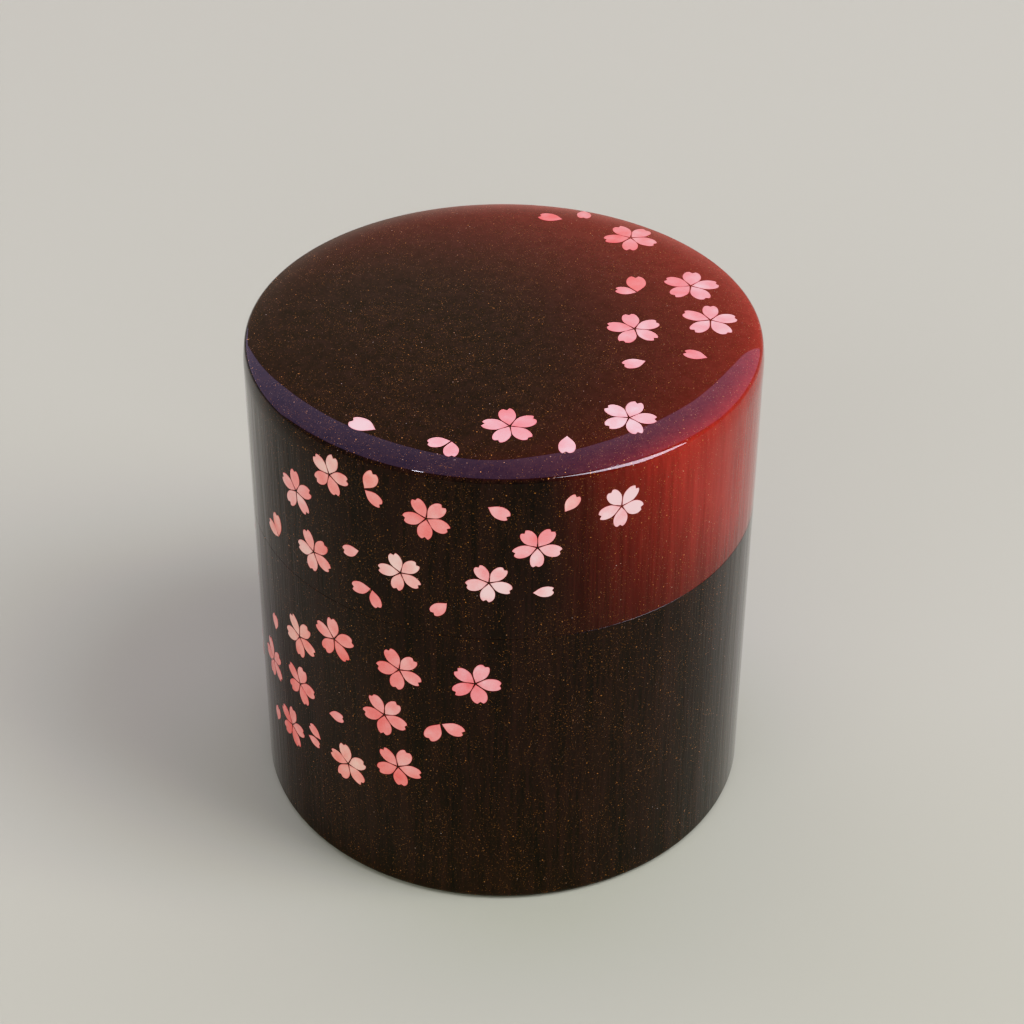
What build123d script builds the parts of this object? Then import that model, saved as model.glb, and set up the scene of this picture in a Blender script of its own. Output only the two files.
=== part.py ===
from build123d import *
import os
from math import sin, radians

# A lidded tea caddy, turned about Z. A lacquered jar holds a liner whose neck stands up inside
# the outer lid. An inner lid with a turned knob plugs that neck, and the outer lid covers both.
# Lengths are in millimetres and angles in degrees. The origin is the middle of the base.

# The closed caddy
outer_radius = 41.0
total_height = 86.0
seam_height = 55.0
seam_edge_round = 0.06
glue_gap = 0.1
sliding_gap = 0.15

# The jar
jar_wall = 2.6
jar_floor = 2.6
base_edge_round = 1.2
foot_width = 5.0
foot_recess = 1.2
foot_round = 0.4

# The liner, whose upper end is the neck
liner_wall = 1.9
liner_floor = 2.0
liner_floor_round = 3.0
neck_height = 15.0
neck_edge_round = 0.5

# The outer lid, from the middle of its top outwards: each arc is (radius, slope where it ends)
crown_slope = 3.0
lid_arcs = [(60.0, 5.0), (22.0, 16.0), (0.9, 78.0), (13.0, 90.0)]
lid_ceiling_below_top = 3.6
lid_ceiling_round = 3.0

# The inner lid
flange_thickness = 2.2
flange_inset = 0.3
flange_edge_round = 0.8
plug_depth = 8.0
plug_wall = 1.7
plug_edge_round = 0.6
plug_ceiling = 0.4
plug_ceiling_round = 1.5

# The knob, glued into the inner lid
tenon_radius = 3.0
tenon_gap = 0.05
knob_foot_radius = 5.4
knob_waist_radius = 4.2
knob_head_radius = 8.2
knob_height = 8.0

# Worked out from the above
jar_bore_radius = outer_radius - jar_wall
jar_floor_top = foot_recess + jar_floor
liner_radius = jar_bore_radius - glue_gap
liner_bore_radius = liner_radius - liner_wall
liner_floor_top = jar_floor_top + liner_floor
neck_top = seam_height + neck_height
lid_bore_radius = liner_radius + sliding_gap
lid_ceiling = total_height - lid_ceiling_below_top
flange_radius = liner_radius - flange_inset
flange_top = neck_top + flange_thickness
plug_radius = liner_bore_radius - sliding_gap
plug_ceiling_height = neck_top - plug_ceiling


def turned(*corners):
    """A solid turned about Z, from an outline of corners given as (radius, height, rounding)."""
    points = [(radius, height) for radius, height, rounding in corners]
    roundings = [rounding for radius, height, rounding in corners]
    outline = FilletPolyline(*points, radius=roundings, close=True)
    return revolve(Plane.XZ * make_face(outline), Axis.Z)


def jar_body():
    """The outer shell: a straight wall, a floor and a foot ring round a shallow recess."""
    foot_inner_radius = outer_radius - foot_width
    return turned(
        (0, foot_recess, 0),
        (foot_inner_radius, foot_recess, foot_round),
        (foot_inner_radius, 0, foot_round),
        (outer_radius, 0, base_edge_round),
        (outer_radius, seam_height, seam_edge_round),
        (jar_bore_radius, seam_height, seam_edge_round),
        (jar_bore_radius, jar_floor_top, foot_round),
        (0, jar_floor_top, 0),
    )


def inner_canister():
    """The liner: a cup glued into the jar, standing above it as the neck."""
    return turned(
        (0, jar_floor_top, 0),
        (liner_radius, jar_floor_top, base_edge_round),
        (liner_radius, neck_top, neck_edge_round),
        (liner_bore_radius, neck_top, neck_edge_round),
        (liner_bore_radius, liner_floor_top, liner_floor_round),
        (0, liner_floor_top, 0),
    )


def lid_outline():
    """The lid's outside, from the middle of its top to its lower edge, as arcs that run on smoothly."""
    slopes = [crown_slope] + [slope for radius, slope in lid_arcs]
    widths = [
        radius * (sin(radians(slope)) - sin(radians(slope_before)))
        for slope_before, (radius, slope) in zip(slopes, lid_arcs)
    ]
    crown_radius = (outer_radius - sum(widths)) / sin(radians(crown_slope))
    edges = []
    point = (0, total_height)
    heading = (1, 0)
    slope_before = 0
    for radius, slope in [(crown_radius, crown_slope)] + lid_arcs:
        arc = JernArc(point, heading, radius, slope_before - slope)
        edges.append(arc)
        point = arc @ 1
        heading = arc % 1
        slope_before = slope
    edges.append(Polyline(point, (outer_radius, seam_height), (0, seam_height), (0, total_height)))
    return edges


def outer_lid():
    """The outer lid: a softly crowned top with a tight rim, hollow from below, sliding over the neck."""
    outside = revolve(Plane.XZ * make_face(lid_outline()), Axis.Z)
    cavity = turned(
        (0, seam_height, 0),
        (lid_bore_radius, seam_height, 0),
        (lid_bore_radius, lid_ceiling, lid_ceiling_round),
        (0, lid_ceiling, 0),
    )
    lid = outside - cavity
    mouth_edges = lid.edges().group_by(Axis.Z)[0]
    return fillet(mouth_edges, seam_edge_round)


def inner_lid():
    """The inner lid: a flange that rests on the neck and a hollow plug that slides into it."""
    hole_radius = tenon_radius + tenon_gap
    plug_bottom = neck_top - plug_depth
    return turned(
        (hole_radius, plug_ceiling_height, 0),
        (plug_radius - plug_wall, plug_ceiling_height, plug_ceiling_round),
        (plug_radius - plug_wall, plug_bottom, plug_edge_round),
        (plug_radius, plug_bottom, plug_edge_round),
        (plug_radius, neck_top, 0),
        (flange_radius, neck_top, flange_edge_round / 2),
        (flange_radius, flange_top, flange_edge_round),
        (hole_radius, flange_top, 0),
    )


def inner_lid_knob():
    """The knob: a waisted mushroom on a tenon as long as the inner lid is thick."""
    knob_top = flange_top + knob_height
    outside = Spline(
        (knob_foot_radius, flange_top),
        (knob_waist_radius, flange_top + 0.32 * knob_height),
        (knob_head_radius, flange_top + 0.72 * knob_height),
        (0, knob_top),
        tangents=[(-0.6, 1), (0, 1), (0, 1), (-1, 0)],
    )
    rest = Polyline(
        (0, knob_top),
        (0, plug_ceiling_height),
        (tenon_radius, plug_ceiling_height),
        (tenon_radius, flange_top),
        (knob_foot_radius, flange_top),
    )
    return revolve(Plane.XZ * make_face([outside, rest]), Axis.Z)


pieces = [jar_body, inner_canister, outer_lid, inner_lid, inner_lid_knob]

os.makedirs("parts", exist_ok=True)
for piece in pieces:
    export_step(piece(), f"parts/{piece.__name__}.step")
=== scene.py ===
import random
from math import ceil, cos, hypot, pi, radians, sin, tan

import bmesh
import bpy
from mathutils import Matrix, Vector
from mathutils.geometry import interpolate_bezier


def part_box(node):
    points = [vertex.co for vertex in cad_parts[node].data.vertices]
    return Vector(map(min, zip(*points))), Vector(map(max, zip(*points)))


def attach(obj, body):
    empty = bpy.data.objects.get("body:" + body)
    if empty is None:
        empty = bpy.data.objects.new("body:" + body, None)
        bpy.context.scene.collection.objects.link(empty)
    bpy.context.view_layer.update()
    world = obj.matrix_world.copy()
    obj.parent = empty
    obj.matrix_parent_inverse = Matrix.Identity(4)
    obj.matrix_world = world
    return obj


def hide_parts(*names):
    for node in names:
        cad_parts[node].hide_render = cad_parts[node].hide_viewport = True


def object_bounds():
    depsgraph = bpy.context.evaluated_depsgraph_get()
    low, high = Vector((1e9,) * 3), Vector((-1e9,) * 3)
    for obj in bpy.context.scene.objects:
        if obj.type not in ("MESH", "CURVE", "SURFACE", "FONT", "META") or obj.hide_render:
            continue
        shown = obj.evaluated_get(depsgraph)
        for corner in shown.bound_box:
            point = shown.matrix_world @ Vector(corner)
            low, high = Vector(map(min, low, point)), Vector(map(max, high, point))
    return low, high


# The looks of a lidded tea caddy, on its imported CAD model: lacquer, printed blossoms and a studio.
# Lengths are in metres and angles in degrees, unless a name or a comment says otherwise.

MM = 0.001

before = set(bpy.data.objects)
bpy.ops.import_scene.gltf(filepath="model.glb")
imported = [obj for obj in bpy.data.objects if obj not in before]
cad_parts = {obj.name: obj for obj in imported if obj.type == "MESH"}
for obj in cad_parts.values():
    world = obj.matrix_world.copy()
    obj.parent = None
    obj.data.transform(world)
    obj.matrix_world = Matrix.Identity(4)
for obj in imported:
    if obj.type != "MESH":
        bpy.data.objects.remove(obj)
cad_low, cad_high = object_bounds()

OUTER_RADIUS = cad_high.x
TOTAL_HEIGHT = cad_high.z
SEAM_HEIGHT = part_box("jar_body")[1].z


def towards(azimuth, elevation):
    """The direction there. Azimuth 0 is at the front and 90 at the right."""
    a = radians(azimuth)
    e = radians(elevation)
    return Vector((sin(a) * cos(e), -cos(a) * cos(e), sin(e)))


# ---------------------------------------------------------------- shader nodes


def new_material(name):
    """An empty material, its node tree and its Principled shader."""
    material = bpy.data.materials.new(name)
    material.use_nodes = True
    tree = material.node_tree
    return material, tree, tree.nodes["Principled BSDF"]


def put(tree, socket, value):
    """Links value to the socket if it is another node's output, and sets it otherwise."""
    if isinstance(value, bpy.types.NodeSocket):
        tree.links.new(value, socket)
    else:
        socket.default_value = value


def math_node(tree, operation, *values):
    """One sum, product or other operation on numbers or other nodes' outputs."""
    node = tree.nodes.new("ShaderNodeMath")
    node.operation = operation
    for socket, value in zip(node.inputs, values):
        put(tree, socket, value)
    return node.outputs[0]


def vector_math(tree, operation, a, b):
    """One operation on two vectors, which gives a number or a vector."""
    node = tree.nodes.new("ShaderNodeVectorMath")
    node.operation = operation
    put(tree, node.inputs[0], a)
    put(tree, node.inputs[1], b)
    return node.outputs["Value" if operation in ("DISTANCE", "DOT_PRODUCT") else "Vector"]


def smooth_step(tree, value, low, high, to_low=0.0, to_high=1.0):
    """Goes smoothly from to_low to to_high as the value goes from low to high."""
    node = tree.nodes.new("ShaderNodeMapRange")
    node.interpolation_type = "SMOOTHSTEP"
    for socket, number in zip(node.inputs, (value, low, high, to_low, to_high)):
        put(tree, socket, number)
    return node.outputs[0]


def mix_colour(tree, factor, a, b):
    """Colour a where the factor is 0 and colour b where it is 1."""
    node = tree.nodes.new("ShaderNodeMix")
    node.data_type = "RGBA"
    put(tree, node.inputs["Factor"], factor)
    # The node's colour sockets come after its number and vector ones, with the same names
    put(tree, node.inputs[6], a)
    put(tree, node.inputs[7], b)
    return node.outputs[2]


def mix_number(tree, factor, a, b):
    """Number a where the factor is 0 and number b where it is 1."""
    node = tree.nodes.new("ShaderNodeMix")
    put(tree, node.inputs["Factor"], factor)
    # Its number sockets come after its two factors
    put(tree, node.inputs[2], a)
    put(tree, node.inputs[3], b)
    return node.outputs[0]


def noise(tree, where, size, detail=2.0, roughness=0.5):
    """Cloudy noise around 0.5, with blotches about that many metres across."""
    node = tree.nodes.new("ShaderNodeTexNoise")
    put(tree, node.inputs["Vector"], where)
    node.inputs["Scale"].default_value = 1 / size
    node.inputs["Detail"].default_value = detail
    node.inputs["Roughness"].default_value = roughness
    return node.outputs[0]


def varied(tree, value, contrast, middle=0.0):
    """Noise, which is around 0.5, stretched by a contrast and moved to that middle."""
    return math_node(tree, "MULTIPLY_ADD", value, contrast, middle - contrast / 2)


def colour_ramp(tree, value, colours):
    """Runs evenly through the colours as the value goes from 0 to 1."""
    node = tree.nodes.new("ShaderNodeValToRGB")
    elements = node.color_ramp.elements
    while len(elements) < len(colours):
        elements.new(0.5)
    for i, colour in enumerate(colours):
        elements[i].position = i / (len(colours) - 1)
        elements[i].color = colour
    put(tree, node.inputs[0], value)
    return node.outputs[0]


def bump(tree, height, distance, strength=1.0):
    """A normal for a surface that stands out by distance where the height is 1."""
    node = tree.nodes.new("ShaderNodeBump")
    node.inputs["Strength"].default_value = strength
    node.inputs["Distance"].default_value = distance
    put(tree, node.inputs["Height"], height)
    return node.outputs[0]


def place(tree):
    """Where the point is on the piece, in metres in the CAD frame."""
    return tree.nodes.new("ShaderNodeTexCoord").outputs["Object"]


def height_of(tree, where):
    """The height of that place above the base."""
    split = tree.nodes.new("ShaderNodeSeparateXYZ")
    put(tree, split.inputs[0], where)
    return split.outputs["Z"]


def upright(tree, where):
    """That place squeezed along Z, so that noise in it makes upright streaks on a wall."""
    return vector_math(tree, "MULTIPLY", where, (1, 1, 0.05))


def clear_coat(shader, roughness):
    """A full clear coat. The ground below it has no gloss of its own, apart from its metal."""
    shader.inputs["Specular IOR Level"].default_value = 0.0
    shader.inputs["Coat Weight"].default_value = 1.0
    shader.inputs["Coat Roughness"].default_value = roughness
    shader.inputs["Coat IOR"].default_value = 1.46


# ---------------------------------------------------------------- materials

# Noise stays mostly within this range
NOISE_LOW = 0.3
NOISE_HIGH = 0.7

# Each darker colour is the dark end of the painted reflection streaks in the lacquer's ground
DARK_BROWN = (0.0178, 0.0092, 0.0084, 1)
DARKER_BROWN = (0.0010, 0.0006, 0.0010, 1)
DEEP_RED = (0.34, 0.032, 0.024, 1)
DARKER_RED = (0.26, 0.021, 0.016, 1)
FAINT_DUST = (0.040, 0.020, 0.010, 1)
COPPER_DUST = (0.88, 0.38, 0.12, 1)
PALE_DUST = (0.60, 0.55, 0.55, 1)

# Upright streaks in the ground: fine ones, and broader bands that vary less. In the ground's colour they
# are a painted reflection of streaked surroundings.
STREAK_SIZE = 0.45 * MM
STREAK_CONTRAST = 0.6
BAND_SIZE = 2.2 * MM
BAND_CONTRAST = 0.4
# The clear coat's grooves follow the streaks, with the bands counting for more. They fade out towards
# the rim, between these heights.
GROOVE_DEPTH = 0.07 * MM
GROOVE_BANDS = 2.5
GROOVES_END = TOTAL_HEIGHT - 3 * MM
GROOVES_FULL = TOTAL_HEIGHT - 8 * MM

# Dust: the size of its cells, the least and most of them that hold a speck, and how large its drifts are
DUST_CELL = 0.10 * MM
LEAST_DUST = 0.10
MOST_DUST = 0.26
DRIFT_SIZE = 9 * MM
DUST_COVER = 0.8
DUST_RARENESS = 7.0
# Sparks: larger specks, far fewer and brighter
SPARK_CELL = 0.20 * MM
SPARKS_PER_DUST = 0.045
SPARK_RARENESS = 1.5
# A speck fades from its core to its edge, as shares of its cell, and this power keeps the pale ones few
SPECK_EDGE = 0.55
SPECK_CORE = 0.25
PALE_RARENESS = 6.0
# The cells are turned by these angles, in radians, so that their rows don't show along the wall
ASKEW = (0.5, 0.7, 0.3)

# Red on the lid's top: it grows by this power away from a dark place at its front left
DARK_PLACE = (-0.5 * OUTER_RADIUS, -0.3 * OUTER_RADIUS, 0)
TOP_SPREAD = 1.18 * OUTER_RADIUS
TOP_DARK_SHARE = 0.34
TOP_POWER = 2.5
TOP_REDNESS = 0.7
# Red on the lid's wall: it grows by this power towards the right, and evenly up from below the seam
REDDEST_SIDE = 110
SIDE_START = 0.2
SIDE_POWER = 1.5
RED_FROM_HEIGHT = 45 * MM
RED_OVER_HEIGHT = 15 * MM
RED_STREAK_SIZE = 1.2 * MM
RED_STREAK_CONTRAST = 0.9
# The top's red takes over from the wall's between these heights
RIM_BOTTOM = TOTAL_HEIGHT - 2.4 * MM
RIM_TOP = TOTAL_HEIGHT - 1.0 * MM


def metal_dust(tree, where, cell, share, rareness):
    """Specks on that share of the cells, bright ones rare: their cover, brightness and colour."""
    turned = tree.nodes.new("ShaderNodeMapping")
    turned.inputs["Rotation"].default_value = ASKEW
    put(tree, turned.inputs["Vector"], where)
    cells = tree.nodes.new("ShaderNodeTexVoronoi")
    put(tree, cells.inputs["Vector"], turned.outputs["Vector"])
    cells.inputs["Scale"].default_value = 1 / cell
    split = tree.nodes.new("ShaderNodeSeparateColor")
    put(tree, split.inputs[0], cells.outputs["Color"])
    first, second, third = split.outputs
    chosen = math_node(tree, "LESS_THAN", first, share)
    inside = smooth_step(tree, cells.outputs["Distance"], SPECK_EDGE, SPECK_CORE)
    brightness = math_node(tree, "POWER", second, rareness)
    paleness = math_node(tree, "POWER", third, PALE_RARENESS)
    bright_metal = mix_colour(tree, paleness, COPPER_DUST, PALE_DUST)
    metal = mix_colour(tree, brightness, FAINT_DUST, bright_metal)
    return math_node(tree, "MULTIPLY", chosen, inside), brightness, metal


def red_on_top(tree, where):
    """How red the lid's top is, from 0 to 1: more towards the right and the back."""
    flat = vector_math(tree, "MULTIPLY", where, (1, 1, 0))
    distance = vector_math(tree, "DISTANCE", flat, DARK_PLACE)
    spread = math_node(tree, "DIVIDE", distance, TOP_SPREAD)
    spread = math_node(tree, "MAXIMUM", math_node(tree, "SUBTRACT", spread, TOP_DARK_SHARE), 0.0)
    return math_node(tree, "MULTIPLY", math_node(tree, "POWER", spread, TOP_POWER), TOP_REDNESS)


def red_on_wall(tree, where, height):
    """How red the lid's wall is, from 0 to 1: more towards the right and upwards, in streaks."""
    aside = vector_math(tree, "DOT_PRODUCT", where, towards(REDDEST_SIDE, 0))
    aside = math_node(tree, "MULTIPLY_ADD", aside, 1 / OUTER_RADIUS, SIDE_START)
    aside = math_node(tree, "POWER", math_node(tree, "MAXIMUM", aside, 0.0), SIDE_POWER)
    above = math_node(tree, "SUBTRACT", height, RED_FROM_HEIGHT)
    above = math_node(tree, "DIVIDE", above, RED_OVER_HEIGHT)
    uneven = noise(tree, upright(tree, where), RED_STREAK_SIZE)
    uneven = varied(tree, uneven, RED_STREAK_CONTRAST, 1.0)
    share = math_node(tree, "MULTIPLY", math_node(tree, "MULTIPLY", aside, above), uneven)
    return math_node(tree, "MINIMUM", share, 1.0)


def red_shading(tree, where):
    """How red the lid's lacquer is, from 0 to 1."""
    height = height_of(tree, where)
    over_rim = smooth_step(tree, height, RIM_BOTTOM, RIM_TOP)
    return mix_number(tree, over_rim, red_on_wall(tree, where, height), red_on_top(tree, where))


def lacquer(name, reddened):
    """Deep clear-coated lacquer with fine copper and gold dust and a few sparks under the coat."""
    material, tree, shader = new_material(name)
    where = place(tree)
    streaks = noise(tree, upright(tree, where), STREAK_SIZE, roughness=0.6)
    streaks = math_node(tree, "MULTIPLY", streaks, STREAK_CONTRAST)
    bands = noise(tree, upright(tree, where), BAND_SIZE, detail=1)
    bands = math_node(tree, "MULTIPLY", bands, BAND_CONTRAST)
    # The streaks darken and lighten the ground's brown and red: a painted reflection of streaked
    # surroundings
    painted_reflection_streaks = smooth_step(tree, math_node(tree, "ADD", streaks, bands), NOISE_LOW, NOISE_HIGH)
    ground = mix_colour(tree, painted_reflection_streaks, DARKER_BROWN, DARK_BROWN)
    if reddened:
        red = mix_colour(tree, painted_reflection_streaks, DARKER_RED, DEEP_RED)
        ground = mix_colour(tree, red_shading(tree, where), ground, red)

    drift = noise(tree, where, DRIFT_SIZE)
    drift = smooth_step(tree, drift, NOISE_LOW, NOISE_HIGH, LEAST_DUST, MOST_DUST)
    dust, dust_brightness, dust_metal = metal_dust(tree, where, DUST_CELL, drift, DUST_RARENESS)
    few = math_node(tree, "MULTIPLY", drift, SPARKS_PER_DUST)
    sparks, spark_brightness, spark_metal = metal_dust(tree, where, SPARK_CELL, few, SPARK_RARENESS)
    ground = mix_colour(tree, math_node(tree, "MULTIPLY", dust, DUST_COVER), ground, dust_metal)
    put(tree, shader.inputs["Base Color"], mix_colour(tree, sparks, ground, spark_metal))
    dusty = math_node(tree, "MULTIPLY", dust, dust_brightness)
    sparkling = math_node(tree, "MULTIPLY", sparks, spark_brightness)
    put(tree, shader.inputs["Metallic"], math_node(tree, "MAXIMUM", dusty, sparkling))

    grooved = smooth_step(tree, height_of(tree, where), GROOVES_END, GROOVES_FULL)
    grooves = math_node(tree, "MULTIPLY_ADD", bands, GROOVE_BANDS, streaks)
    grooves = math_node(tree, "MULTIPLY", grooves, grooved)
    put(tree, shader.inputs["Coat Normal"], bump(tree, grooves, GROOVE_DEPTH))
    shader.inputs["Roughness"].default_value = 0.4
    clear_coat(shader, 0.02)
    return material


LINER_BROWN = (0.055, 0.022, 0.014, 1)
INNER_LID_BROWN = (0.022, 0.011, 0.008, 1)
WEAR_SIZE = 6 * MM
WORN_SHADE = 0.6
GLOSSIEST = 0.26
DULLEST = 0.4
RIPPLE_SIZE = 1.1 * MM
RIPPLE_HEIGHT = 0.01 * MM
RIPPLE_STRENGTH = 0.12


def satin_lacquer(name, colour):
    """Plain lacquer of the inside pieces, brushed on thinner and rubbed to satin."""
    material, tree, shader = new_material(name)
    where = place(tree)
    wear = noise(tree, where, WEAR_SIZE, detail=4)
    darker = tuple(WORN_SHADE * channel for channel in colour[:3]) + (1,)
    put(tree, shader.inputs["Base Color"], mix_colour(tree, wear, colour, darker))
    roughness = smooth_step(tree, wear, NOISE_LOW, NOISE_HIGH, GLOSSIEST, DULLEST)
    put(tree, shader.inputs["Roughness"], roughness)
    ripples = noise(tree, where, RIPPLE_SIZE)
    put(tree, shader.inputs["Normal"], bump(tree, ripples, RIPPLE_HEIGHT, RIPPLE_STRENGTH))
    shader.inputs["Coat Weight"].default_value = 0.35
    shader.inputs["Coat Roughness"].default_value = 0.15
    return material


# The print's pinks and warmer salmons, each from the palest to the deepest
PINKS = [(0.80, 0.58, 0.61, 1), (0.80, 0.33, 0.36, 1), (0.78, 0.16, 0.17, 1)]
SALMONS = [(0.80, 0.57, 0.48, 1), (0.80, 0.32, 0.27, 1), (0.76, 0.15, 0.12, 1)]
PETAL_EDGE = (0.48, 0.06, 0.06, 1)
EDGE_START = 0.4
EDGE_STRENGTH = 0.6
CLOUD_SIZE = 2.5 * MM
CLOUD_CONTRAST = 0.8
GRAIN_SIZE = 0.2 * MM
GRAIN_CONTRAST = 0.5


def blossom_print(name):
    """The blossoms' print. The mesh says how deep its pink is, where its edges are and how warm it is."""
    material, tree, shader = new_material(name)
    attribute = tree.nodes.new("ShaderNodeAttribute")
    attribute.attribute_name = "petal"
    split = tree.nodes.new("ShaderNodeSeparateColor")
    put(tree, split.inputs[0], attribute.outputs["Color"])
    depth, edge, warmth = split.outputs
    where = place(tree)
    cloud = varied(tree, noise(tree, where, CLOUD_SIZE, detail=1), CLOUD_CONTRAST)
    grain = varied(tree, noise(tree, where, GRAIN_SIZE, roughness=0.7), GRAIN_CONTRAST)
    shade = math_node(tree, "ADD", depth, math_node(tree, "ADD", cloud, grain))
    pink = mix_colour(tree, warmth, colour_ramp(tree, shade, PINKS), colour_ramp(tree, shade, SALMONS))
    outlined = smooth_step(tree, edge, EDGE_START, 1.0, 0.0, EDGE_STRENGTH)
    put(tree, shader.inputs["Base Color"], mix_colour(tree, outlined, pink, PETAL_EDGE))
    shader.inputs["Roughness"].default_value = 0.5
    clear_coat(shader, 0.03)
    return material


# ---------------------------------------------------------------- turned pieces

# The gloss shows every facet of the CAD meshes, so all the pieces but the knob are turned again, finer:
# in this many segments, with their arcs and long stretches split this finely.
SEGMENTS = 432
ARC_STEP = radians(4)
CROWN_SPACING = 1.1 * MM
LOOP_SPACING = 3 * MM
EDGE_LOOP = 0.3 * MM
SHARP_ANGLE = radians(40)

LINER_LOW, LINER_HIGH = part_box("inner_canister")
INNER_LID_LOW, INNER_LID_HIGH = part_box("inner_lid")
SLIDING_GAP = 0.15 * MM

JAR_WALL = 2.6 * MM
JAR_FLOOR = 2.6 * MM
BASE_EDGE_ROUND = 1.2 * MM
FOOT_WIDTH = 5 * MM
FOOT_RECESS = 1.2 * MM
FOOT_ROUND = 0.4 * MM
SEAM_EDGE_ROUND = 0.06 * MM
LID_BORE_RADIUS = LINER_HIGH.x + SLIDING_GAP
LID_CEILING = TOTAL_HEIGHT - 3.6 * MM
LID_CEILING_ROUND = 3 * MM

LINER_WALL = 1.9 * MM
LINER_BORE_RADIUS = LINER_HIGH.x - LINER_WALL
LINER_FLOOR = 2 * MM
LINER_FLOOR_ROUND = 3 * MM
NECK_EDGE_ROUND = 0.5 * MM
FLANGE_THICKNESS = 2.2 * MM
FLANGE_EDGE_ROUND = 0.8 * MM
PLUG_RADIUS = LINER_BORE_RADIUS - SLIDING_GAP
PLUG_WALL = 1.7 * MM
PLUG_EDGE_ROUND = 0.6 * MM
PLUG_CEILING = 0.4 * MM
PLUG_CEILING_ROUND = 1.5 * MM
TENON_HOLE_RADIUS = 3.05 * MM

# The lid's outside, from the middle of its top outwards: each arc is (radius, slope where it ends)
CROWN_SLOPE = 3.0
LID_ARCS = [(60 * MM, 5.0), (22 * MM, 16.0), (0.9 * MM, 78.0), (13 * MM, 90.0)]


def rounded(*corners):
    """The points of an outline from corners given as (radius, height, rounding). Its ends stay sharp."""
    points = []
    for i, (radius, height, rounding) in enumerate(corners):
        corner = Vector((radius, height))
        if rounding == 0:
            points.append(corner)
            continue
        before = (Vector(corners[i - 1][:2]) - corner).normalized()
        after = (Vector(corners[i + 1][:2]) - corner).normalized()
        half_angle = before.angle(after) / 2
        centre = corner + (before + after).normalized() * rounding / sin(half_angle)
        start = (corner + before * rounding / tan(half_angle) - centre).normalized()
        end = (corner + after * rounding / tan(half_angle) - centre).normalized()
        steps = ceil((pi - 2 * half_angle) / ARC_STEP)
        points += [centre + rounding * start.slerp(end, k / steps) for k in range(steps + 1)]
    return points


def with_loops(points):
    """Splits the long stretches, so that smooth shading bends them only close to their ends."""
    result = []
    for a, b in zip(points, points[1:]):
        length = (b - a).length
        result.append(a)
        if length > 4 * EDGE_LOOP:
            result.append(a.lerp(b, EDGE_LOOP / length))
            steps = ceil(length / LOOP_SPACING)
            result += [a.lerp(b, k / steps) for k in range(1, steps)]
            result.append(b.lerp(a, EDGE_LOOP / length))
    return result + [points[-1]]


def lathe(name, outline, body, node, material):
    """Turns an outline, from the axis back to it or round a ring, into a piece that replaces a CAD node."""
    mesh = bmesh.new()
    on_axis = outline[0].x == 0
    points = with_loops(outline[1:-1]) if on_axis else with_loops(outline + outline[:1])[:-1]
    angles = [2 * pi * k / SEGMENTS for k in range(SEGMENTS)]
    rings = []
    for point in points:
        rings.append([mesh.verts.new((point.x * cos(a), point.x * sin(a), point.y)) for a in angles])
    next_rings = rings[1:] if on_axis else rings[1:] + rings[:1]
    for ring, next_ring in zip(rings, next_rings):
        for k in range(SEGMENTS):
            after = (k + 1) % SEGMENTS
            mesh.faces.new((ring[k], next_ring[k], next_ring[after], ring[after]))
    if on_axis:
        for ring, middle in ((rings[0], outline[0]), (rings[-1], outline[-1])):
            pole = mesh.verts.new((0, 0, middle.y))
            for k in range(SEGMENTS):
                mesh.faces.new((pole, ring[k], ring[(k + 1) % SEGMENTS]))
    bmesh.ops.recalc_face_normals(mesh, faces=mesh.faces)
    add_piece(name, mesh, body, material, node)


def add_piece(name, mesh, body, material, node=None):
    """Makes a smooth object of the bmesh, riding on the body."""
    data = bpy.data.meshes.new(name)
    mesh.to_mesh(data)
    mesh.free()
    data.polygons.foreach_set("use_smooth", [True] * len(data.polygons))
    data.set_sharp_from_angle(angle=SHARP_ANGLE)
    data.materials.append(material)
    piece = bpy.data.objects.new(name, data)
    bpy.context.scene.collection.objects.link(piece)
    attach(piece, body)
    if node:
        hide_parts(node)
    return piece


def crown_arcs():
    """The arcs of the lid's outside, each as (centre, radius, slope at its start, slope at its end)."""
    slopes = [CROWN_SLOPE] + [slope for radius, slope in LID_ARCS]
    widths = [
        radius * (sin(radians(after)) - sin(radians(before)))
        for before, (radius, after) in zip(slopes, LID_ARCS)
    ]
    crown_radius = (OUTER_RADIUS - sum(widths)) / sin(radians(CROWN_SLOPE))
    arcs = []
    start = Vector((0, TOTAL_HEIGHT))
    before = 0.0
    for radius, slope in [(crown_radius, CROWN_SLOPE)] + LID_ARCS:
        after = radians(slope)
        centre = start - radius * Vector((sin(before), cos(before)))
        arcs.append((centre, radius, before, after))
        start = centre + radius * Vector((sin(after), cos(after)))
        before = after
    return arcs


CROWN = crown_arcs()


def lid_outline():
    """The outer lid's outline: over the crown and the rim, down the wall, and back up inside."""
    points = [Vector((0, TOTAL_HEIGHT))]
    for centre, radius, before, after in CROWN:
        turn = after - before
        steps = ceil(max(turn / ARC_STEP, radius * turn / CROWN_SPACING, 4))
        for k in range(1, steps + 1):
            slope = before + turn * k / steps
            points.append(centre + radius * Vector((sin(slope), cos(slope))))
    wall_top = points[-1]
    below = rounded(
        (wall_top.x, wall_top.y, 0),
        (OUTER_RADIUS, SEAM_HEIGHT, SEAM_EDGE_ROUND),
        (LID_BORE_RADIUS, SEAM_HEIGHT, SEAM_EDGE_ROUND),
        (LID_BORE_RADIUS, LID_CEILING, LID_CEILING_ROUND),
        (0, LID_CEILING, 0),
    )
    return points[:-1] + below


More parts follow.
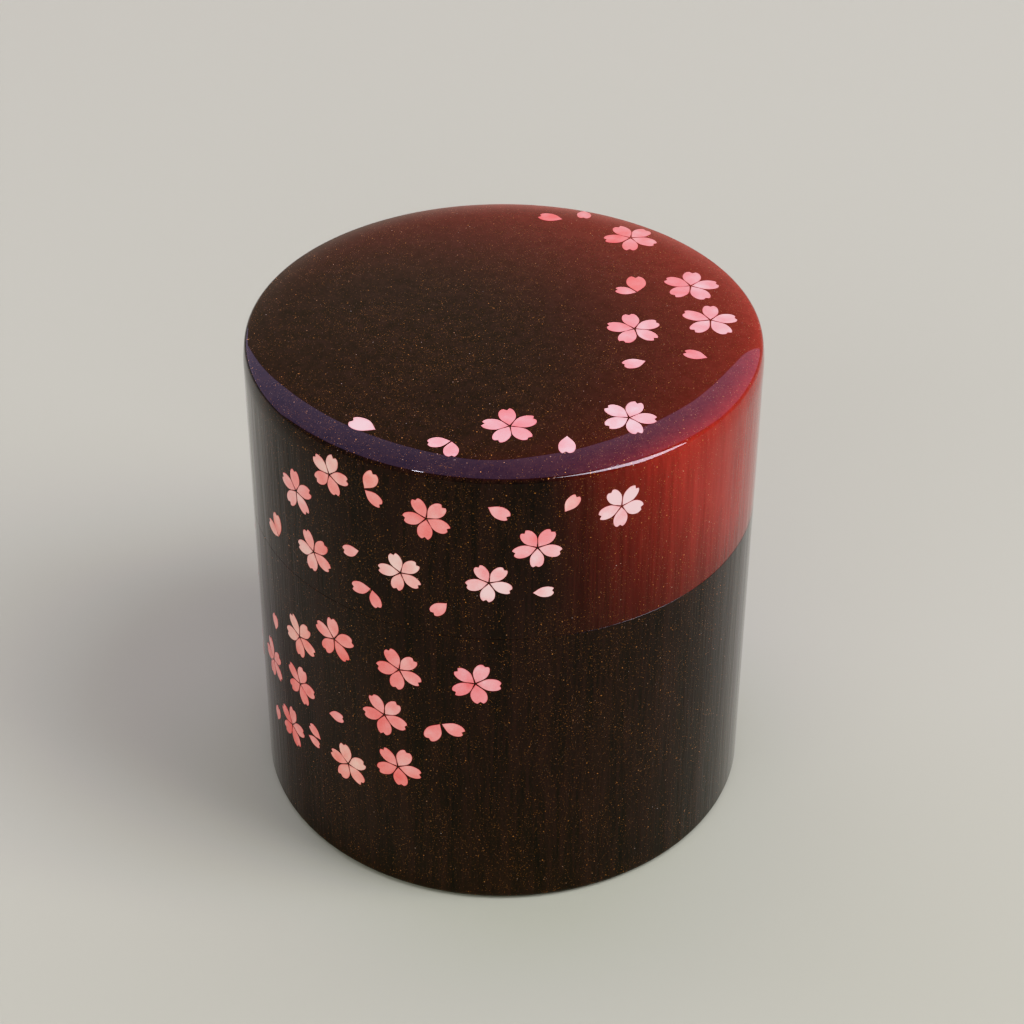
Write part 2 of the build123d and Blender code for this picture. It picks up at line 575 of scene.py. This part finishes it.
def jar_outline():
    """The jar's outline: out over the foot ring, up the wall, and back down inside."""
    foot_inner_radius = OUTER_RADIUS - FOOT_WIDTH
    bore_radius = OUTER_RADIUS - JAR_WALL
    floor_top = FOOT_RECESS + JAR_FLOOR
    return rounded(
        (0, FOOT_RECESS, 0),
        (foot_inner_radius, FOOT_RECESS, FOOT_ROUND),
        (foot_inner_radius, 0, FOOT_ROUND),
        (OUTER_RADIUS, 0, BASE_EDGE_ROUND),
        (OUTER_RADIUS, SEAM_HEIGHT, SEAM_EDGE_ROUND),
        (bore_radius, SEAM_HEIGHT, SEAM_EDGE_ROUND),
        (bore_radius, floor_top, FOOT_ROUND),
        (0, floor_top, 0),
    )


def liner_outline():
    """The liner's outline: out under its floor, up to the top of the neck, and back down inside."""
    floor_top = LINER_LOW.z + LINER_FLOOR
    return rounded(
        (0, LINER_LOW.z, 0),
        (LINER_HIGH.x, LINER_LOW.z, BASE_EDGE_ROUND),
        (LINER_HIGH.x, LINER_HIGH.z, NECK_EDGE_ROUND),
        (LINER_BORE_RADIUS, LINER_HIGH.z, NECK_EDGE_ROUND),
        (LINER_BORE_RADIUS, floor_top, LINER_FLOOR_ROUND),
        (0, floor_top, 0),
    )


def inner_lid_outline():
    """The inner lid's outline: its ceiling, down and up the plug, and round the flange to the hole."""
    plug_bottom = INNER_LID_LOW.z
    flange_radius = INNER_LID_HIGH.x
    flange_top = INNER_LID_HIGH.z
    neck_top = flange_top - FLANGE_THICKNESS
    ceiling = neck_top - PLUG_CEILING
    return rounded(
        (TENON_HOLE_RADIUS, ceiling, 0),
        (PLUG_RADIUS - PLUG_WALL, ceiling, PLUG_CEILING_ROUND),
        (PLUG_RADIUS - PLUG_WALL, plug_bottom, PLUG_EDGE_ROUND),
        (PLUG_RADIUS, plug_bottom, PLUG_EDGE_ROUND),
        (PLUG_RADIUS, neck_top, 0),
        (flange_radius, neck_top, FLANGE_EDGE_ROUND / 2),
        (flange_radius, flange_top, FLANGE_EDGE_ROUND),
        (TENON_HOLE_RADIUS, flange_top, 0),
    )


liner_lacquer = satin_lacquer("liner_lacquer", LINER_BROWN)
inner_lid_lacquer = satin_lacquer("inner_lid_lacquer", INNER_LID_BROWN)
lathe("liner_cup", liner_outline(), "jar", "inner_canister", liner_lacquer)
lathe("inner_lid_plug", inner_lid_outline(), "inner_lid", "inner_lid", inner_lid_lacquer)
for material_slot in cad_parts["inner_lid_knob"].material_slots:
    material_slot.material = inner_lid_lacquer
lathe("jar_shell", jar_outline(), "jar", "jar_body", lacquer("jar_lacquer", reddened=False))
lathe("lid_shell", lid_outline(), "outer_lid", "outer_lid", lacquer("lid_lacquer", reddened=True))

# ---------------------------------------------------------------- blossoms

# A petal of length 1 along +X: it starts near the origin and ends in two ears with a notch between them
PETAL_START = 0.05
PETAL_HALF_WIDTH = 0.305
PETAL_WIDEST = 0.60
PETAL_EAR = 0.11
PETAL_NOTCH = 0.10
PETAL_MIDDLE = Vector((0.56, 0.0))
# The handles of the two curves along each of its sides, and how many points a curve has
START_HANDLE = (0.20, 0.11)
BEFORE_WIDEST = 0.36
AFTER_WIDEST = 0.80
EAR_HANDLE = (0.95, 0.24)
CURVE_POINTS = 8
# How far petals differ: shares of the width and of the notch, the notch's shift, and where the ears end
WIDTH_RANGE = (0.94, 1.05)
NOTCH_RANGE = (0.8, 1.2)
NOTCH_SHIFT = 0.05
EAR_RANGE = (0.96, 1.0)
# Its print stands a little proud of the lacquer, and its underside lies a little way under the surface
PROUD = 0.04 * MM
SUNK = -0.06 * MM
# A petal's rings, from its underside round its edge to its top: (share of its size, height, edge colour)
PETAL_RINGS = [
    (0.5, SUNK, 0.0),
    (1.0, SUNK, 1.0),
    (1.0, 0.6 * PROUD, 1.0),
    (0.96, PROUD, 0.8),
    (0.88, PROUD, 0.0),
    (0.6, PROUD, 0.0),
    (0.3, PROUD, 0.0),
]

# How much a blossom's pink varies across it, and how much its petals differ in pink, length and direction
ACROSS_BLOSSOM = 0.16
PINK_SPREAD = 0.06
LENGTH_SPREAD = 0.03
TURN_SPREAD = 1.5

chance = random.Random(8)


def petal_outline():
    """A petal's outline, each a little different, from the notch round past its start to the last ear."""
    width = PETAL_HALF_WIDTH * chance.uniform(*WIDTH_RANGE)
    notch_depth = PETAL_NOTCH * chance.uniform(*NOTCH_RANGE)
    notch = Vector((1 - notch_depth, chance.uniform(-NOTCH_SHIFT, NOTCH_SHIFT)))
    sides = []
    for side in (1, -1):
        ear = Vector((chance.uniform(*EAR_RANGE), side * PETAL_EAR + notch.y))
        start = Vector((PETAL_START, 0))
        flank = Vector((PETAL_WIDEST, side * width))
        after_start = Vector((START_HANDLE[0], side * START_HANDLE[1]))
        before_flank = Vector((BEFORE_WIDEST, side * width))
        after_flank = Vector((AFTER_WIDEST, side * width))
        before_ear = Vector((EAR_HANDLE[0], side * EAR_HANDLE[1]))
        near = interpolate_bezier(start, after_start, before_flank, flank, CURVE_POINTS)
        far = interpolate_bezier(flank, after_flank, before_ear, ear, CURVE_POINTS)
        sides.append(near + far[1:])
    left, right = sides
    return [notch] + left[::-1] + right[1:]


class PrintedPetals:
    """Petals printed on one surface, whose function turns (u, v, height) into a point in the CAD frame."""

    def __init__(self, surface):
        self.surface = surface
        self.mesh = bmesh.new()
        self.colours = []

    def point(self, spot, height, colour):
        """A vertex at that height over a spot, with its pink, edge and warmth kept as a colour."""
        self.colours.append(colour)
        return self.mesh.verts.new(self.surface(spot.x, spot.y, height))

    def petal(self, base, direction, length, depth, warmth):
        """One petal of that length in metres, from its base point along direction, in degrees."""
        ahead = Vector((cos(radians(direction)), sin(radians(direction))))
        aside = Vector((-ahead.y, ahead.x))
        outline = petal_outline()

        def spot(p):
            return base + length * (p.x * ahead + p.y * aside)

        rings = []
        for share, height, edge in PETAL_RINGS:
            scaled = [PETAL_MIDDLE + share * (p - PETAL_MIDDLE) for p in outline]
            rings.append([self.point(spot(p), height, (depth, edge, warmth, 1)) for p in scaled])
        bottom = self.point(spot(PETAL_MIDDLE), SUNK, (depth, 0, warmth, 1))
        top = self.point(spot(PETAL_MIDDLE), PROUD, (depth, 0, warmth, 1))
        for i, first in enumerate(rings[0]):
            j = (i + 1) % len(outline)
            self.mesh.faces.new((bottom, rings[0][j], first))
            for lower, upper in zip(rings, rings[1:]):
                self.mesh.faces.new((lower[i], lower[j], upper[j], upper[i]))
            self.mesh.faces.new((rings[-1][i], rings[-1][j], top))

    def blossom(self, centre, turn, length, depth, paler_towards, warmth):
        """Five petals round a centre, deeper pink away from one direction."""
        for i in range(5):
            direction = turn + 72 * i + chance.uniform(-TURN_SPREAD, TURN_SPREAD)
            paler = ACROSS_BLOSSOM * cos(radians(direction - paler_towards))
            own_depth = depth - paler + chance.uniform(-PINK_SPREAD, PINK_SPREAD)
            own_length = length * chance.uniform(1 - LENGTH_SPREAD, 1 + LENGTH_SPREAD)
            self.petal(centre, direction, own_length, own_depth, warmth)

    def build(self, name, body, material):
        """Makes one piece of all the petals, riding on the body."""
        bmesh.ops.recalc_face_normals(self.mesh, faces=self.mesh.faces)
        piece = add_piece(name, self.mesh, body, material)
        attribute = piece.data.color_attributes.new("petal", "FLOAT_COLOR", "POINT")
        for vertex, colour in zip(attribute.data, self.colours):
            vertex.color = colour


def wall_surface(u, v, height):
    """u is the distance round the wall from the front, to the right; v is the height above the base."""
    angle = u / OUTER_RADIUS
    # The crown's last arc bends the top of the wall inwards
    centre, radius, before, after = CROWN[-1]
    rise = max(v - centre.y, 0.0)
    outwards = centre.x + (radius ** 2 - rise ** 2) ** 0.5 + height
    return (outwards * sin(angle), -outwards * cos(angle), v)


def top_surface(u, v, height):
    """u and v are the place on the lid seen from above."""
    distance = hypot(u, v)
    for centre, radius, before, after in CROWN:
        if distance <= centre.x + radius * sin(after):
            break
    rise = (radius ** 2 - (distance - centre.x) ** 2) ** 0.5
    return (u, v, centre.y + rise + height)


def on_top(x, y):
    """A spot of the top, from millimetres."""
    return Vector((x, y)) * MM


def on_wall(angle, height):
    """A spot of the wall, from degrees round from the front to the right and from millimetres."""
    return Vector((radians(angle) * OUTER_RADIUS, height * MM))


# Blossoms: (two numbers for the place, turn, petal length mm, depth of pink, paler towards, warmth).
# The place is x and y mm on the top. On a wall it is degrees round from the front, and height mm.
TOP_BLOSSOMS = [
    (21, 27.3, -24, 4.6, 0.68, 0, 0.3),
    (30, 11.8, 12, 4.6, 0.50, 0, 0.1),
    (32.5, 1.5, 14, 4.5, 0.38, -45, 0.1),
    (20.4, -1.9, 29, 4.4, 0.42, 0, 0.1),
    (0.9, -28.4, 26, 4.3, 0.50, -120, 0),
    (18.6, -25.9, -3, 4.2, 0.12, -150, 0),
]
LID_BLOSSOMS = [
    (-39, 79, 3, 3.7, 0.35, 90, 0.8),
    (-50, 72, 22, 3.9, 0.48, -90, 0.7),
    (-45, 62.4, -28, 3.9, 0.42, -150, 0.8),
    (-16, 76.5, -25, 3.8, 0.62, 60, 0.6),
    (-22, 65.4, -32, 3.65, 0.20, 90, 0.7),
    (25, 77.2, -22, 3.75, 0.07, 45, 0.1),
    (7, 72.2, -20, 3.75, 0.38, -60, 0.15),
    (-3, 65.8, -23, 3.65, 0.15, -45, 0.3),
    (-90, 73, 10, 3.8, 0.5, 60, 0.8),
    (-101, 62, -15, 3.9, 0.6, 120, 0.9),
    (-113, 75, 25, 3.7, 0.4, 45, 0.7),
    (-126, 66, 5, 3.8, 0.35, 0, 0.6),
]
JAR_BLOSSOMS = [
    (-40, 47.2, 20, 4.1, 0.62, 120, 0.8),
    (-52, 42.6, -19, 4.1, 0.45, 120, 1),
    (-53, 32.3, 3, 4.0, 0.68, 60, 0.8),
    (-23, 46.3, -26, 4.0, 0.60, 30, 0.6),
    (-6, 46.1, -4, 4.0, 0.58, 30, 0.1),
    (-27, 36.1, -20, 4.1, 0.62, 60, 0.6),
    (-58, 21, 9, 4.0, 0.75, 60, 0.8),
    (-37.5, 22.1, 29, 4.0, 0.40, 60, 1),
    (-24, 26, -8, 4.1, 0.65, 60, 0.7),
    (-67, 30.3, -34, 4.0, 0.65, 60, 0.8),
    (-90, 38, 12, 4.0, 0.6, 90, 0.9),
    (-88, 24, -20, 4.1, 0.5, 60, 0.8),
    (-102, 47, 30, 3.9, 0.65, 120, 0.8),
    (-103, 31, 0, 4.0, 0.45, 60, 0.7),
    (-117, 40, -10, 4.0, 0.6, 30, 0.6),
    (-116, 22, 18, 4.1, 0.7, 60, 0.8),
    (-131, 32, 24, 4.0, 0.5, 45, 0.6),
]
# Loose petals: (two numbers for the place of its base, direction, length mm, depth of pink, warmth)
TOP_PETALS = [
    (10, 33.4, 162, 4.4, 0.9, 0.3),
    (13.6, 38, -93, 4.0, 0.7, 0.3),
    (21.9, -10.9, -159, 4.0, 0.3, 0),
    (-18.7, -29.1, 148, 4.9, 0.02, 0.1),
    (9.3, -30.5, -91, 4.4, 0.2, 0),
    (21.3, 9.1, 168, 3.6, 0.55, 0.2),
    (21.3, 9.1, 91, 5.1, 0.8, 0.4),
    (-7.6, -32, -173, 3.7, 0.3, 0),
    (-7.6, -32, -92, 3.7, 0.4, 0),
    (31.5, -9.5, 160, 4.0, 0.7, 0),
]
LID_PETALS = [
    (-58.6, 59.4, 162, 3.7, 0.4, 1),
    (-58.6, 59.4, 97, 4.5, 0.5, 1),
    (-30, 79, 61, 4.0, 0.4, 0.9),
    (-30, 79, -35, 3.6, 0.6, 0.7),
    (-29, 60.6, -166, 3.8, 0.5, 0.6),
    (-29, 60.6, -74, 3.5, 0.6, 0.6),
    (-31.7, 67.1, -159, 3.4, 0.4, 0.6),
    (-11.7, 61.4, -135, 3.6, 0.5, 0.5),
    (-3.4, 79.8, -30, 3.8, 0.45, 0.3),
    (12.4, 78.1, 53, 3.5, 0.3, 0.5),
    (5.9, 63.8, 0, 3.4, 0.05, 0.3),
    (-87, 61.5, 150, 3.6, 0.4, 0.8),
    (-101, 77, -20, 3.7, 0.5, 0.7),
    (-114, 60.5, 70, 3.6, 0.6, 0.7),
    (-114, 60.5, -8, 3.4, 0.5, 0.7),
    (-136, 76, -130, 3.7, 0.3, 0.5),
    (-143, 60, 20, 3.5, 0.4, 0.5),
    (-160, 70, 160, 3.6, 0.3, 0.4),
]
JAR_PETALS = [
    (-64, 38, 90, 3.4, 0.5, 0.8),
    (-43, 30.8, 9, 3.5, 0.6, 0.6),
    (-67, 17, 80, 3.4, 0.6, 0.8),
    (-46, 23.5, 150, 3.4, 0.6, 0.8),
    (-51, 22.5, -10, 3.2, 0.6, 0.8),
    (-13.7, 37.2, -119, 4.4, 0.6, 0.5),
    (-13.7, 37.2, -22, 4.0, 0.55, 0.5),
    (-84, 49, -150, 3.5, 0.5, 0.8),
    (-98, 16, 40, 3.6, 0.6, 0.8),
    (-129, 46, 100, 3.8, 0.5, 0.6),
    (-129, 46, 20, 3.5, 0.6, 0.6),
    (-131, 18, -60, 3.5, 0.5, 0.6),
    (-146, 40, 170, 3.7, 0.4, 0.5),
    (-150, 25, 30, 3.4, 0.5, 0.5),
    (-168, 34, -20, 3.5, 0.4, 0.4),
]

print_material = blossom_print("blossom_print")
for name, body, surface, spot, blossoms, petals in (
    ("blossoms_lid_top", "outer_lid", top_surface, on_top, TOP_BLOSSOMS, TOP_PETALS),
    ("blossoms_lid_wall", "outer_lid", wall_surface, on_wall, LID_BLOSSOMS, LID_PETALS),
    ("blossoms_jar_wall", "jar", wall_surface, on_wall, JAR_BLOSSOMS, JAR_PETALS),
):
    printed = PrintedPetals(surface)
    for across, along, turn, length, depth, paler_towards, warmth in blossoms:
        printed.blossom(spot(across, along), turn, length * MM, depth, paler_towards, warmth)
    for across, along, direction, length, depth, warmth in petals:
        printed.petal(spot(across, along), direction, length * MM, depth, warmth)
    printed.build(name, body, print_material)

# ---------------------------------------------------------------- studio

STUDIO_RADIUS = 3.0
FLOOR_RADIUS = 2.2
SCREEN_ROWS = 12

# The camera stands off from a point on the caddy's axis, and looks a little to the right of that point
CAMERA_ELEVATION = 36.4
CAMERA_DISTANCE = 0.409
CENTRE_HEIGHT = 0.566 * TOTAL_HEIGHT
LOOKS_ASIDE = 1.4 * MM
CAMERA_ROLL = 0.26
CAMERA_LENS = 86.8

PALE_FLOOR = (0.43, 0.44, 0.37, 1)
GREY_ROOM = (0.50, 0.50, 0.47, 1)
VIOLET = (1.32, 1.14, 1.55, 1)
WARM = (0.68, 0.58, 0.50, 1)
NEAR_WHITE = (1.0, 0.97, 1.0)
COOL_WHITE = (0.86, 0.84, 1.0)

# A violet screen stands behind the caddy like an arch, with a warm one in its opening. Their edges are
# directions from the top of the caddy, as (azimuth, elevation), and run from the left to the right.
OPENING = [
    (214, 0), (208, 20), (204.5, 34.5), (197, 39.5), (188, 44.5), (182, 51), (175, 43.5), (169, 38.5),
    (161, 33), (150, 24), (134, 15),
]
HORIZON = [(azimuth, -4) for azimuth, elevation in OPENING]
ARCH_TOP = [
    (258, 0), (258, 20), (255, 38), (245, 60), (225, 78), (180, 84), (145, 74), (128, 60), (120, 48),
    (114, 38), (108, 30),
]


def aim(piece, target, roll):
    """Turns a camera or a light to face the target, then about its own line of sight."""
    piece.rotation_euler = (target - piece.location).to_track_quat("-Z", "Y").to_euler()
    piece.rotation_euler.rotate_axis("Z", radians(roll))


def softbox(name, azimuth, elevation, width, height, radiance, colour, lights=True, mirrored=True):
    """A rectangular area light that faces the caddy and isn't seen by the camera itself."""
    light = bpy.data.lights.new(name, "AREA")
    light.shape = "RECTANGLE"
    light.size = width
    light.size_y = height
    light.energy = radiance * pi * width * height
    light.color = colour
    lamp = bpy.data.objects.new(name, light)
    bpy.context.scene.collection.objects.link(lamp)
    target = Vector((0, 0, TOTAL_HEIGHT))
    lamp.location = target + STUDIO_RADIUS * towards(azimuth, elevation)
    lamp.visible_camera = False
    lamp.visible_diffuse = lights
    lamp.visible_glossy = mirrored
    aim(lamp, target, 0)


def smooth_line(directions):
    """A smooth line of directions from a few given as (azimuth, elevation), by cutting its corners."""
    line = [towards(azimuth, elevation) for azimuth, elevation in directions]
    for _ in range(3):
        line = [a.lerp(b, share) for a, b in zip(line, line[1:]) for share in (0.25, 0.75)]
    return line


def screen(name, lower_edge, upper_edge, radiance):
    """A glowing sheet bent round the studio between two lines of directions from the top of the caddy."""
    mesh = bmesh.new()
    edges = list(zip(smooth_line(lower_edge), smooth_line(upper_edge)))
    rows = []
    for i in range(SCREEN_ROWS + 1):
        points = [low.lerp(high, i / SCREEN_ROWS) for low, high in edges]
        rows.append([mesh.verts.new(STUDIO_RADIUS * point.normalized()) for point in points])
    for lower, upper in zip(rows, rows[1:]):
        for j in range(len(lower) - 1):
            mesh.faces.new((lower[j], lower[j + 1], upper[j + 1], upper[j]))
    data = bpy.data.meshes.new(name)
    mesh.to_mesh(data)
    mesh.free()
    material, tree, shader = new_material(name)
    shader.inputs["Base Color"].default_value = (0, 0, 0, 1)
    shader.inputs["Specular IOR Level"].default_value = 0.0
    shader.inputs["Emission Color"].default_value = radiance
    shader.inputs["Emission Strength"].default_value = 1.0
    data.materials.append(material)
    sheet = bpy.data.objects.new(name, data)
    bpy.context.scene.collection.objects.link(sheet)
    sheet.location.z = TOTAL_HEIGHT
    sheet.visible_camera = False


def build_world():
    """A plain grey room all round."""
    world = bpy.data.worlds.new("studio")
    bpy.context.scene.world = world
    world.use_nodes = True
    world.node_tree.nodes["Background"].inputs["Color"].default_value = GREY_ROOM


def build_floor():
    """A round floor, which ends before the light on it fades."""
    mesh = bpy.data.meshes.new("floor")
    ring = [FLOOR_RADIUS * towards(angle, 0) for angle in range(0, 360, 3)]
    mesh.from_pydata(ring, [], [range(len(ring))])
    floor = bpy.data.objects.new("floor", mesh)
    bpy.context.scene.collection.objects.link(floor)
    material, tree, shader = new_material("pale_floor")
    shader.inputs["Base Color"].default_value = PALE_FLOOR
    shader.inputs["Roughness"].default_value = 0.9
    mesh.materials.append(material)


def build_camera():
    """The camera, in front of the caddy and looking down at it."""
    camera = bpy.data.objects.new("camera", bpy.data.cameras.new("camera"))
    bpy.context.scene.collection.objects.link(camera)
    centre = Vector((0, 0, CENTRE_HEIGHT))
    camera.location = centre + CAMERA_DISTANCE * towards(0, CAMERA_ELEVATION)
    aim(camera, centre + Vector((LOOKS_ASIDE, 0, 0)), CAMERA_ROLL)
    camera.data.lens = CAMERA_LENS
    camera.data.clip_start = 0.01
    bpy.context.scene.camera = camera


build_floor()
build_camera()
build_world()
screen("warm_card", HORIZON, OPENING, WARM)
screen("violet_arch", OPENING, ARCH_TOP, VIOLET)
# Each softbox: azimuth, elevation, width, height, radiance and colour
softbox("key", 72, 50, 1.33, 2.0, 8.6, NEAR_WHITE, mirrored=False)
softbox("front_fill", -15, 21, 4.3, 2.2, 1.95, NEAR_WHITE, mirrored=False)
softbox("rim_light", 68, 44, 1.4, 3.2, 15, COOL_WHITE, lights=False)
softbox("glint_left", -121, 73.6, 0.8, 0.04, 110, COOL_WHITE, lights=False)
softbox("glint_right", 149, 68, 0.8, 0.04, 110, COOL_WHITE, lights=False)
bpy.context.scene.view_settings.view_transform = "Khronos PBR Neutral"
